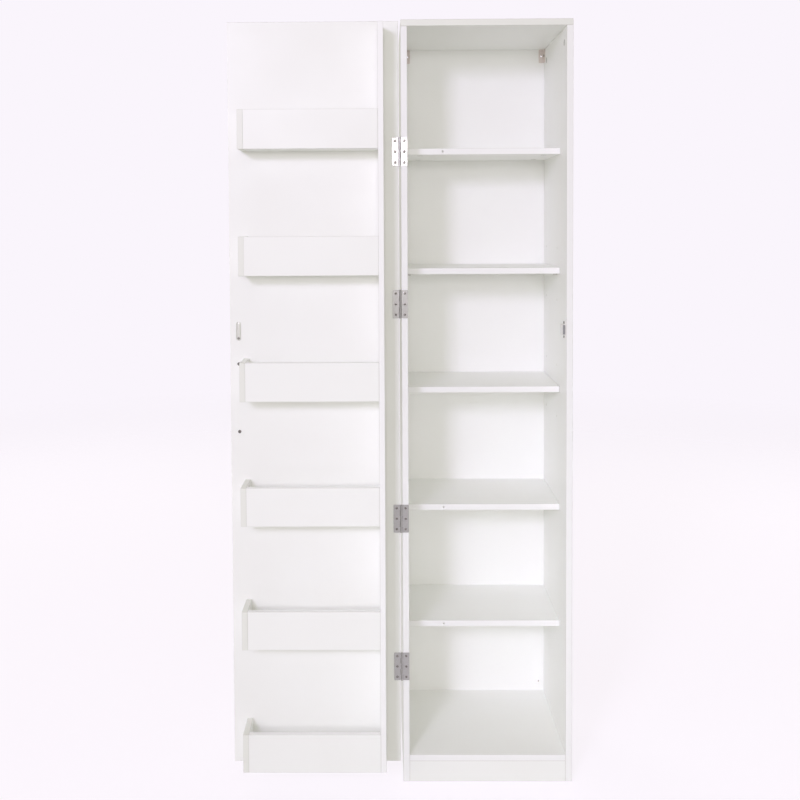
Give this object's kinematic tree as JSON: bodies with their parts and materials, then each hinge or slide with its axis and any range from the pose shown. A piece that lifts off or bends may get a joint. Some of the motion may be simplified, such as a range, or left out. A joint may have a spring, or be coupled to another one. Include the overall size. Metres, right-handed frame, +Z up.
{
  "type": "pantry cabinet",
  "caption": "Tall narrow pantry cabinet with fixed and adjustable shelves, and a full-height hinged door that carries open racks inside and a bow handle outside.",
  "frame": {"origin": "on the floor, at the middle of the cabinet's outline with its door fully open", "axes": "+X along the front from the open door's free edge to the carcass, +Y from the front to the back, +Z up"},
  "size_m": [0.802, 0.4138, 1.8],
  "materials": {
    "carcass_board": "white melamine-faced chipboard with white edge banding, satin",
    "shelf_board": "white melamine-faced chipboard with white edge banding, satin",
    "door_board": "white melamine-faced chipboard with white edge banding, satin",
    "rack_board": "thin white melamine-faced chipboard with white edge banding, satin",
    "back_hardboard": "thin hardboard lacquered white on the inside, satin",
    "hinge_steel": "zinc-plated pressed steel, dull",
    "screw_steel": "zinc-plated steel",
    "bracket_steel": "grey-painted pressed steel",
    "dowel_beech": "plain turned beech",
    "cam_zinc": "die-cast zinc",
    "bolt_steel": "zinc-plated steel",
    "peg_steel": "nickel-plated steel",
    "nail_steel": "plain steel",
    "catch_plastic": "moulded pale grey plastic",
    "magnet_ferrite": "dark sintered ferrite",
    "pole_steel": "zinc-plated steel sheet",
    "strike_steel": "nickel-plated pressed steel",
    "handle_steel": "brushed steel bar"
  },
  "bodies": {
    "carcass": {"back_nails": "nail_steel", "back_panel": "back_hardboard", "bottom_panel": "carcass_board", "bracket_screws": "screw_steel", "cam_bolts": "bolt_steel", "cam_locks": "cam_zinc", "carcass_dowels": "dowel_beech", "catch_housing": "catch_plastic", "catch_magnet": "magnet_ferrite", "catch_pole_plates": "pole_steel", "catch_screws": "screw_steel", "corner_bracket_left": "bracket_steel", "corner_bracket_right": "bracket_steel", "hinge_1_carcass_leaf": "hinge_steel", "hinge_2_carcass_leaf": "hinge_steel", "hinge_3_carcass_leaf": "hinge_steel", "hinge_4_carcass_leaf": "hinge_steel", "hinge_carcass_screws": "screw_steel", "hinge_pins": "hinge_steel", "kick_board": "carcass_board", "left_side_panel": "carcass_board", "right_side_panel": "carcass_board", "shelf_1_fixed": "shelf_board", "shelf_2_fixed": "shelf_board", "shelf_5_fixed": "shelf_board", "shelf_pegs": "peg_steel", "top_panel": "carcass_board"},
    "door": {"door_handle": "handle_steel", "door_panel": "door_board", "handle_screws": "screw_steel", "hinge_1_door_leaf": "hinge_steel", "hinge_2_door_leaf": "hinge_steel", "hinge_3_door_leaf": "hinge_steel", "hinge_4_door_leaf": "hinge_steel", "hinge_door_screws": "screw_steel", "rack_1_floor": "rack_board", "rack_1_front": "rack_board", "rack_1_side": "rack_board", "rack_2_floor": "rack_board", "rack_2_front": "rack_board", "rack_2_side": "rack_board", "rack_3_floor": "rack_board", "rack_3_front": "rack_board", "rack_3_side": "rack_board", "rack_4_floor": "rack_board", "rack_4_front": "rack_board", "rack_4_side": "rack_board", "rack_5_floor": "rack_board", "rack_5_front": "rack_board", "rack_5_side": "rack_board", "rack_6_floor": "rack_board", "rack_6_front": "rack_board", "rack_6_side": "rack_board", "rack_dowels": "dowel_beech", "rack_upright": "rack_board", "strike_plate": "strike_steel", "strike_plate_screw": "screw_steel"},
    "shelf_3": {"shelf_3_adjustable": "shelf_board"},
    "shelf_4": {"shelf_4_adjustable": "shelf_board"}
  },
  "joints": [
    {"name": "door_hinge", "type": "hinge", "parent": "carcass", "child": "door", "pos_m": [-0.002, -0.128, 0.887], "axis": [0, 0, 1], "range_deg": [-15, 180]},
    {"name": "shelf_3_lift", "type": "slide", "parent": "carcass", "child": "shelf_3", "axis": [0, 0, 1], "range_m": [0, 0.032]},
    {"name": "shelf_4_lift", "type": "slide", "parent": "carcass", "child": "shelf_4", "axis": [0, 0, 1], "range_m": [0, 0.032]}
  ]
}
